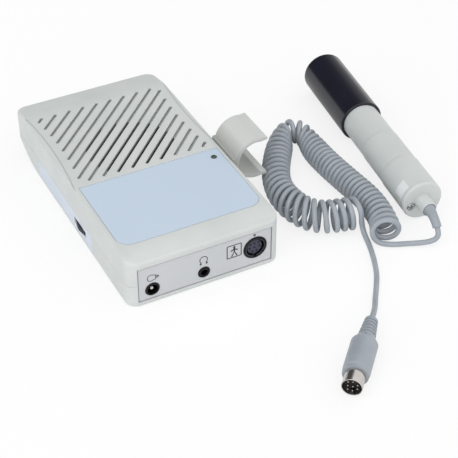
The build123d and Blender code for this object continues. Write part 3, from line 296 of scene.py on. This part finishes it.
# %% The case's, the probe's and the plug's finishes
looks = {
    "shell_plastic": dict(colour=(206, 210, 209), other=(200, 205, 204), rub_and_highlight=0.7, edge_r=0.6 * mm),
    "panel_plastic": dict(colour=(197, 199, 202), other=(194, 197, 200), gloss=(0.4, 0.5)),
    "label_film": dict(colour=(196, 211, 226), other=(193, 208, 224), gloss=(0.3, 0.42), patch=50 * mm),
    "inner_plastic": dict(colour=(98, 100, 102), other=(88, 90, 93)),
    "cell_wrap": dict(colour=(62, 66, 72), other=(52, 56, 62), gloss=(0.2, 0.3)),
    "contact_metal": dict(colour=(214, 212, 205), other=(200, 198, 190), gloss=(0.2, 0.35), metallic=1.0),
    "board_green": dict(colour=(32, 92, 52), other=(26, 80, 46), gloss=(0.25, 0.4)),
    "component_black": dict(colour=(44, 44, 47), other=(36, 36, 40)),
    "magnet_metal": dict(colour=(150, 152, 156), other=(138, 140, 146), gloss=(0.3, 0.45), metallic=1.0),
    "cone_paper": dict(colour=(60, 60, 62), other=(50, 50, 53), gloss=(0.6, 0.8)),
    "wheel_plastic": dict(colour=(52, 54, 58), other=(44, 46, 50)),
    "lamp_lens": dict(colour=(70, 80, 76), other=(58, 68, 64), gloss=(0.08, 0.15)),
    "jack_plastic": dict(colour=(17, 17, 21), other=(13, 13, 17), gloss=(0.4, 0.55), specular=0.2),
    "plated_metal": dict(colour=(206, 201, 197), other=(192, 188, 184), gloss=(0.12, 0.24), metallic=1.0),
    "gold_metal": dict(colour=(226, 200, 140), other=(214, 186, 126), gloss=(0.15, 0.25), metallic=1.0),
    "clip_plastic": dict(colour=(205, 207, 205), other=(200, 203, 200), gloss=(0.35, 0.5)),
    "screw_steel": dict(colour=(190, 191, 194), other=(174, 176, 180), gloss=(0.25, 0.4), metallic=1.0),
    "cap_plastic": dict(colour=(27, 28, 40), other=(22, 23, 35), gloss=(0.14, 0.2), depth=0.001 * mm, rub_and_highlight=0.1,
                        specks=0.1),
    "probe_plastic": dict(colour=(204, 208, 207), other=(200, 205, 204), gloss=(0.35, 0.48)),
    "face_resin": dict(colour=(146, 152, 158), other=(138, 144, 150)),
    "crystal_ceramic": dict(colour=(208, 200, 176), other=(198, 190, 166)),
    "backing_rubber": dict(colour=(60, 60, 60), other=(52, 52, 52), gloss=(0.6, 0.8)),
    "sticker_film": dict(colour=(230, 233, 235), other=(225, 229, 232), gloss=(0.2, 0.3)),
    "cord_rubber": dict(colour=(157, 164, 171), other=(149, 156, 164), gloss=(0.34, 0.5), patch=10 * mm,
                        edge_r=0),
    "insert_plastic": dict(colour=(24, 24, 26), other=(18, 18, 20)),
}
finishes = {name: finish(name, **look) for name, look in looks.items()}
for part in frame["record"]["subparts"]:
    surface = frame["nodes"][part["node"]].data
    surface.materials.clear()
    surface.materials.append(finishes[part["material_slot"]])
print("finishes:", len(finishes))

# %% Finishes of single pieces
# The side label's film is label_film painted lighter: a lit copy, as painted light for the brighter side.
side_film_painted_lighter = finish("side_film_painted_lighter", (206, 214, 225), (203, 212, 223), gloss=(0.3, 0.42), patch=50 * mm)
dull_metal = finish("dull_metal", (120, 120, 130), (100, 100, 110), gloss=(0.25, 0.4), metallic=1.0)
socket_plastic = finish("socket_plastic", **looks["jack_plastic"])
print_ink = finish("print_ink", (58, 60, 70), (50, 52, 62), gloss=(0.5, 0.6), patch=2 * mm, edge_r=0)
cord_jacket = finish("cord_jacket", (158, 165, 172), (149, 156, 164), gloss=(0.32, 0.48), patch=10 * mm,
                     edge_r=0)
for node, look in {"side_label": side_film_painted_lighter, "probe_socket_shield": dull_metal,
                   "probe_socket": socket_plastic}.items():
    frame["nodes"][node].data.materials[0] = look
    print(node, "has", look.name)

# %% [markdown]
# ## Finishes that change from place to place
# Some pieces aren't the same all over, and here light and shade are painted into their colour. The floors of
# the grille's narrow slots, the creases of the shoulders, the front panel's rim, and the clip near its root and
# inside its bore are painted darker, as painted shade. The round socket's core is painted paler and bluer, as a
# painted highlight.
#
# Each of these finishes is tinted by a number that Math nodes work out from the object's own coordinates: the
# depth inside a box over the grille, the distance from a large circle that follows the crease, a height or a
# width on the panel, and the distance from the axis of the bore or of the socket. Vertex colours could do the
# same, but a imported mesh isn't changed.

# %% Helpers for places
def own_place(tree):
    """The three coordinates of a point in the object's own space, inside a material that finish made."""
    split = tree.nodes.new("ShaderNodeSeparateXYZ")
    tree.links.new(tree.nodes["Texture Coordinate"].outputs["Object"], split.inputs[0])
    return split.outputs["X"], split.outputs["Y"], split.outputs["Z"]


def distance(tree, first, second, centre):
    """How far two coordinates are from a centre: the root of the sum of the two differences squared."""
    squares = []
    for value, middle in zip((first, second), centre):
        off = worked(tree, "SUBTRACT", value, middle)
        squares.append(worked(tree, "MULTIPLY", off, off))
    return worked(tree, "SQRT", worked(tree, "ADD", *squares))


def tint_further(tree, value, span, most, towards):
    """Mixes a finished material's colour towards another screen colour, as shift does."""
    colour = tree.nodes["Principled BSDF"].inputs["Base Color"]
    tree.links.new(shift(tree, value, span, most, colour.links[0].from_socket, linear(towards)), colour)


# %% Painted shade in the grille's slots
grille_half_width, grille_front, grille_back = 36.2 * mm, -8.0 * mm, 57.0 * mm
slot_top, slot_low = 27.4 * mm, 26.7 * mm
tree = finishes["shell_plastic"].node_tree
x, y, z = own_place(tree)
off_middle = worked(tree, "ABSOLUTE", x)
depth = worked(tree, "SUBTRACT", slot_top, z)
for inside in (worked(tree, "LESS_THAN", off_middle, grille_half_width),
               worked(tree, "GREATER_THAN", y, grille_front),
               worked(tree, "LESS_THAN", y, grille_back)):
    depth = worked(tree, "MULTIPLY", depth, inside)
# Painted shade: the slot floors are darkened towards (142, 145, 144) by their depth below the grille's top.
tint_further(tree, depth, (0.0, slot_top - slot_low), 0.65, (142, 145, 144))

# %% Painted shade lines along the shoulders' creases
crease_centre, crease_r = (296.0 * mm, 25.0 * mm), 258.7 * mm
crease_half_width, crease_low = 0.6 * mm, 26.9 * mm
from_crease = worked(tree, "SUBTRACT", distance(tree, off_middle, y, crease_centre), crease_r)
near = worked(tree, "MULTIPLY",
              worked(tree, "SUBTRACT", crease_half_width, worked(tree, "ABSOLUTE", from_crease)),
              worked(tree, "GREATER_THAN", z, crease_low))
# Painted shade: a thin dark line along each shoulder's crease, towards (150, 153, 153).
tint_further(tree, near, (0.05 * mm, 0.5 * mm), 0.6, (150, 153, 153))
print("nodes in the shell's finish:", len(tree.nodes))

# %% Painted shadow round the panel's rim
rim_top, rim_side, painted_rim_shadow = (21.7 * mm, 22.1 * mm), (34.6 * mm, 34.9 * mm), (148, 151, 156)
tree = finishes["panel_plastic"].node_tree
x, y, z = own_place(tree)
# Painted shadow: a thin dark line along the panel's top and side edges, where the shell's edge shades them.
tint_further(tree, z, rim_top, 0.75, painted_rim_shadow)
tint_further(tree, worked(tree, "ABSOLUTE", x), rim_side, 0.6, painted_rim_shadow)

# %% Painted shade in the clip
bore_axis, bore_edge, root = (53.1 * mm, 25.0 * mm), (10.0 * mm, 9.85 * mm), (46.5 * mm, 41.5 * mm)
tree = finishes["clip_plastic"].node_tree
x, y, z = own_place(tree)
# Painted shade: the inside of the bore and the root next to the case are darkened, where shade falls.
tint_further(tree, distance(tree, x, z, bore_axis), bore_edge, 0.55, (150, 152, 147))
tint_further(tree, x, root, 0.65, (142, 144, 138))

# %% Painted highlight on the round socket's core
socket_axis, core_edge = (26.2 * mm, 13.0 * mm), (4.05 * mm, 3.95 * mm)
tree = socket_plastic.node_tree
x, y, z = own_place(tree)
# Painted highlight: the core is painted paler and bluer, towards (66, 68, 82), as the light it reflects.
tint_further(tree, distance(tree, x, z, socket_axis), core_edge, 1.0, (66, 68, 82))
print("nodes in the socket's finish:", len(tree.nodes))

# %% [markdown]
# ## Marks on the front panel
# Small marks are printed in dark grey beside the sockets: a power plug, a pair of headphones, a standing figure
# in a box, and a dot over the round socket. A print is paint a few hundredths of a millimetre thick. An image
# would need pixels, so each mark is drawn here as bars of one width along lines in the panel's plane.

# %% Printing
def arc(x, z, radius, start, end, count=24):
    """Points (x + r cos a, z + r sin a) with a from start to end, in degrees."""
    angle = np.radians(np.linspace(start, end, count))
    return np.stack([x + radius * np.cos(angle), z + radius * np.sin(angle)], axis=1)


def printed(name, width, lines, front=-74.1, paint=0.04):
    """Bars along lines of (x, z) points in mm: left of each point, right of it, and the same behind them."""
    points, faces = [], []
    for line in lines:
        line = np.asarray(line, float)
        way = unit(np.gradient(line, axis=0))
        left = np.stack([-way[:, 1], way[:, 0]], axis=1) * width / 2
        near, far = np.full(len(line), front - paint), np.full(len(line), front + paint)
        corners = [(line + left, near), (line - left, near), (line - left, far), (line + left, far)]
        grid = np.stack([np.stack([spot[:, 0], y, spot[:, 1]], axis=1) for spot, y in corners], axis=1)
        start = len(points) * 4
        points.extend(grid)
        faces += [[corner + start for corner in face] for face in skin_faces(len(line), 4)]
    mark = add_piece(name, np.array(points) * mm, faces, print_ink, smooth=False)
    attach(mark, "case")
    print(name, "has", len(faces), "faces")


# %% The marks
printed("power_mark", 0.36, [arc(-28.5, 15.1, 1.8, 50, 310),
                             [(-27.3, 16.5), (-26.1, 16.3)], [(-27.3, 13.7), (-26.1, 13.9)],
                             [(-26.1, 16.4), (-26.1, 13.8)], [(-26.1, 15.1), (-24.3, 15.1)],
                             [(-25.7, 16.0), (-24.5, 15.2)], [(-25.7, 14.2), (-24.5, 15.0)]])
printed("phones_mark", 0.42, [arc(-1.2, 15.6, 2.0, -40, 220),
                              [(0.3, 14.4), (0.1, 13.2)], [(-2.7, 14.4), (-2.5, 13.2)]])
printed("phones_mark_ears", 0.9, [[(0.5, 13.9), (0.3, 12.9)], [(-2.9, 13.9), (-2.7, 12.9)]])
printed("figure_mark", 0.5, [[(11.2, 18.6), (18.7, 18.6)], [(18.7, 18.6), (18.7, 11.3)],
                             [(18.7, 11.3), (11.2, 11.3)], [(11.2, 11.3), (11.2, 18.6)]])
printed("figure_mark_body", 0.75, [arc(15.0, 17.3, 0.3, 0, 360, 16), [(15.0, 16.8), (15.0, 14.5)],
                                   [(13.2, 15.3), (15.0, 16.2), (16.8, 15.3)],
                                   [(13.6, 11.9), (15.0, 14.7), (16.4, 11.9)]])
printed("socket_dot", 0.5, [arc(26.0, 20.4, 0.25, 0, 360, 16)])

# %% [markdown]
# ## The cord
# One wire runs from the probe to the plug. In its middle it is wound into a curl of some fifty turns, wide at
# both ends. Each stretch follows a smooth curve through a handful of route points, and the curl winds round
# such a curve: sideways -r sin(2 pi t) and up r (1 - cos(2 pi t)) after t turns, so every turn rests on the
# floor. A real one is wound on a rod and heat-set, which is why its turns are so even.

# %% Routes, in mm
coil_route = [(91.2, -88.8), (95.4, -81.2), (98.0, -69.5), (98.6, -58.0), (97.4, -46.0), (96.3, -34.0),
              (95.6, -22.0), (95.7, -12.0), (96.6, -3.5), (97.6, 3.5), (96.4, 9.4), (91.6, 11.4),
              (87.2, 7.8), (83.6, 3.4), (79.0, -2.2), (73.8, -9.4), (68.8, -17.2), (64.4, -26.0),
              (61.4, -36.0), (61.0, -46.5), (62.8, -55.5), (66.8, -61.7), (72.6, -65.2), (79.0, -66.8),
              (85.8, -68.4)]
probe_lead_points = [(115.0, -99.2, 4.7), (113.0, -99.6, 3.7), (109.8, -98.4, 2.6), (105.7, -96.0, 1.7),
                     (100.6, -93.5, 1.4)]
plug_lead_points = [(85.3, -73.6, 14.6), (85.4, -75.0, 11.6), (85.6, -75.2, 7.6), (85.8, -76.2, 4.0),
                    (85.6, -78.9, 1.7), (84.6, -83.2, 1.4), (82.6, -89.6, 1.4), (79.2, -98.4, 1.4),
                    (75.2, -106.8, 1.4), (70.0, -114.6, 1.4), (65.4, -121.0, 1.4), (61.4, -127.0, 2.4)]
print("route points:", len(coil_route) + len(probe_lead_points) + len(plug_lead_points))


# %% Helpers for lines
def smooth_line(name, points, resolution):
    """The points of an order 3 NURBS curve that starts and ends at its route's ends, read back from Blender."""
    curve = bpy.data.curves.new(name, "CURVE")
    curve.dimensions = "3D"
    curve.resolution_u = resolution
    spline = curve.splines.new("NURBS")
    spline.points.add(len(points) - 1)
    for spot, place in zip(spline.points, points):
        spot.co = (*place, 1)
    spline.order_u = 3
    spline.use_endpoint_u = True
    holder = bpy.data.objects.new(name, curve)
    bpy.context.scene.collection.objects.link(holder)
    mesh = bpy.data.meshes.new_from_object(holder)
    line = np.empty(len(mesh.vertices) * 3)
    mesh.vertices.foreach_get("co", line)
    bpy.data.objects.remove(holder)
    bpy.data.meshes.remove(mesh)
    return line.reshape(-1, 3)


def rise(low, high, value):
    """0 below low, 1 above high, and 3 s^2 - 2 s^3 between them."""
    part = np.clip((value - low) / (high - low), 0, 1)
    return part * part * (3 - 2 * part)


def lengths_along(line):
    """The length run so far at each point of a line of points."""
    return np.concatenate([[0], np.cumsum(np.linalg.norm(np.diff(line, axis=0), axis=1))])


def running_mean(values, reach):
    """Each value's mean with its neighbours, up to reach to each side and fewer near the ends."""
    sums = np.concatenate([[0], np.cumsum(values)])
    spot = np.arange(len(values))
    half = np.minimum(reach, np.minimum(spot, len(values) - 1 - spot))
    return (sums[spot + half + 1] - sums[spot - half]) / (2 * half + 1)


# %% The curl's axis, and the way its rings face
axis_steps = 3000
rough_axis = smooth_line("coil_axis", [(x * mm, y * mm, 0) for x, y in coil_route], 200)
rough_lengths = lengths_along(rough_axis)
axis_lengths = np.linspace(0, rough_lengths[-1], axis_steps + 1)
axis = np.stack([np.interp(axis_lengths, rough_lengths, rough_axis[:, k]) for k in (0, 1)], axis=1)
steps = np.gradient(axis, axis=0)
headings = np.unwrap(np.arctan2(steps[:, 1], steps[:, 0]))
shares = axis_lengths / axis_lengths[-1]
ring_reach = int(17 * mm / axis_lengths[1])
ring_headings = running_mean(running_mean(headings, ring_reach), ring_reach)
ring_headings = np.interp(axis_lengths + 6 * mm * rise(0.55, 0.7, shares), axis_lengths, ring_headings)
print("axis, mm:", round(axis_lengths[-1] / mm, 1))

# %% [markdown]
# The curl's width and its pitch both change along the way, so each is a start value plus changes, each eased in
# over a stretch of the axis. Where the axis bends, the rings come nearer to each other on the inside. The rate
# at which the point at angle a of a ring moves on is, for a ring that leans by l and turns by k each metre, the
# length of (cos l - r k sin a, sin l sin a), and the pitch is opened until even the slowest point keeps its
# gap. At the end the turns are stretched a little, so that they end on a half.

# %% The curl's width, and how close its rings may come
def changing(start, *changes):
    """start, plus each change (amount, low, high) eased in as the share of the axis goes from low to high."""
    return start + sum(amount * rise(low, high, shares) for amount, low, high in changes)


wire_r = 1.35 * mm
close_pitch, fold_gap, least_rate = 3.0 * mm, 1.2 * mm, 0.2
curl_r = mm * changing(6.7, (-0.8, 0.0, 0.06), (-0.5, 0.36, 0.44), (0.5, 0.5, 0.58), (0.3, 0.5, 0.7),
                       (1.0, 0.72, 0.88))
bends = running_mean(np.gradient(ring_headings, axis_lengths), int(1.5 * mm / axis_lengths[1]))
lean = headings - ring_headings
ring_side = np.sin(np.linspace(0, 2 * pi, 33))[None, :]
rates = np.hypot(np.cos(lean)[:, None] - (curl_r * bends)[:, None] * ring_side,
                 np.sin(lean)[:, None] * ring_side).min(axis=1)
free_pitch = mm * changing(4.8, (-1.8, 0.02, 0.12), (1.0, 0.55, 0.7))
tight_pitch = (close_pitch + fold_gap * (1 - rates)) / np.maximum(rates, least_rate)
per_metre = 1 / np.maximum(free_pitch, tight_pitch)
turns = np.concatenate([[0], np.cumsum(per_metre[:-1] * np.diff(axis_lengths))])
turns *= (np.floor(turns[-1] - 0.5) + 0.5) / turns[-1]
print("turns:", turns[-1], "closest side's rate:", round(rates.min(), 3))

# %% The curl
points_per_turn = 32
t = np.linspace(0, turns[-1], int(turns[-1] * points_per_turn) + 1)
x, y, heading, radius = (np.interp(t, turns, value)
                         for value in (axis[:, 0], axis[:, 1], ring_headings, curl_r))
side = -radius * np.sin(2 * pi * t)
curl = np.stack([x + side * np.sin(heading), y - side * np.cos(heading),
                 radius * (1 - np.cos(2 * pi * t)) + wire_r], axis=1)
print("curl length, m:", round(lengths_along(curl)[-1], 4))

# %% Where the wire leaves the probe and enters the plug
probe_at = np.array([135.3, 48.7, 11.7]) * mm
probe_heading = radians(-97.4)
probe_way = np.array([cos(probe_heading), sin(probe_heading), 0])
relief_start, relief_bend_r, relief_bend = 135.6 * mm, 14.7 * mm, radians(44)
tip = probe_at + probe_way * (relief_start + relief_bend_r * sin(relief_bend)) \
    - np.array([0, 0, relief_bend_r * (1 - cos(relief_bend))])
tip_way = probe_way * cos(relief_bend) - np.array([0, 0, sin(relief_bend)])
plug_at = np.array([52.6, -137.5, 6.3]) * mm
plug_heading = radians(-132.9)
plug_way = np.array([cos(plug_heading), sin(plug_heading), 0])
print("exit, m:", tip.round(4))

# %% The whole wire's middle line
lead_resolution = 24
level = np.array([1, 1, 0])
start_way, end_way = unit((curl[1] - curl[0]) * level), unit((curl[-1] - curl[-2]) * level)
coil_start, coil_end = curl[0] - start_way * 1.2 * mm, curl[-1] + end_way * 1.2 * mm
probe_route = [tip, tip + tip_way * 2.6 * mm, *(np.array(p) * mm for p in probe_lead_points),
               coil_start - start_way * 2.8 * mm, coil_start]
plug_route = [coil_end, coil_end + end_way * 1.3 * mm, *(np.array(p) * mm for p in plug_lead_points),
              plug_at - plug_way * 6.0 * mm, plug_at]
probe_line = smooth_line("probe_lead_line", probe_route, lead_resolution)
plug_line = smooth_line("plug_lead_line", plug_route, lead_resolution)
wire_line = np.concatenate([probe_line, curl, plug_line])
print("wire length, m:", round(lengths_along(wire_line)[-1], 4))

# %% [markdown]
# The wire's skin is a ring of points round each point of its middle line. A ring needs a direction to start
# from, and one that never lies along the wire: the curl's axis inside the curl, and straight up on the leads,
# with an even change over the first and last fifth of a turn.

# %% The wire's skin
def tube_grid(line, reference, radius, sides):
    """Rings round a line: point + r (n cos a - b sin a), with w the way on, b = w x reference and n = b x w."""
    way = unit(np.gradient(line, axis=0))
    across = unit(np.cross(way, reference))
    up = np.cross(across, way)
    angle = np.linspace(0, 2 * pi, sides, endpoint=False)[None, :, None]
    return line[:, None] + radius * (up[:, None] * np.cos(angle) - across[:, None] * np.sin(angle))


def with_leads(values, before, after):
    """The curl's values, with one value for the whole of the probe's lead before them and one for the plug's."""
    return np.concatenate([np.full(len(probe_line), before), values, np.full(len(plug_line), after)])


sides = 16
inside = with_leads(np.minimum(rise(0, 0.2, t), rise(0, 0.2, turns[-1] - t)), 0.0, 0.0)[:, None]
curl_heading = with_leads(heading, heading[0], heading[-1])
along_axis = np.stack([np.cos(curl_heading), np.sin(curl_heading), np.zeros(len(curl_heading))], axis=1)
reference = inside * along_axis + (1 - inside) * np.array([0, 0, 1.0])
wire_grid = tube_grid(wire_line, reference, wire_r, sides)
wire = add_piece("curly_cord", wire_grid, skin_faces(*wire_grid.shape[:2]), cord_jacket)
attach(wire, "probe")
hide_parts("probe_lead", "coil_cord", "plug_lead")
print("rings along the wire:", len(wire_line))

# %% [markdown]
# A wire's jacket is pushed out of a round nozzle, which leaves faint streaks along it. They have to follow the
# wire round every turn, so each point of the skin carries its own place on the wire: (cos a, sin a, s / 25 mm),
# with a the angle round it and s the length along it. Noise read there is stretched lengthwise, and it has no
# seam, because cos a and sin a come back to where they started.

# %% Streaks along the jacket
streak_length, streak_size = 25 * mm, 1 / 3.0
angle = np.linspace(0, 2 * pi, sides, endpoint=False)[None, :]
along = lengths_along(wire_line)[:, None] / streak_length
on_wire = np.stack(np.broadcast_arrays(np.cos(angle), np.sin(angle), along), axis=-1)
jacket = wire.data.attributes.new("jacket", "FLOAT_VECTOR", "POINT")
jacket.data.foreach_set("vector", on_wire.astype(np.float32).ravel())
tree = cord_jacket.node_tree
read = tree.nodes.new("ShaderNodeAttribute")
read.attribute_name = "jacket"
tint_further(tree, noise(tree, read.outputs["Vector"], streak_size, 4), (0.42, 0.62), 0.5, (168, 174, 180))
print("points on the jacket:", on_wire.shape[0] * on_wire.shape[1])
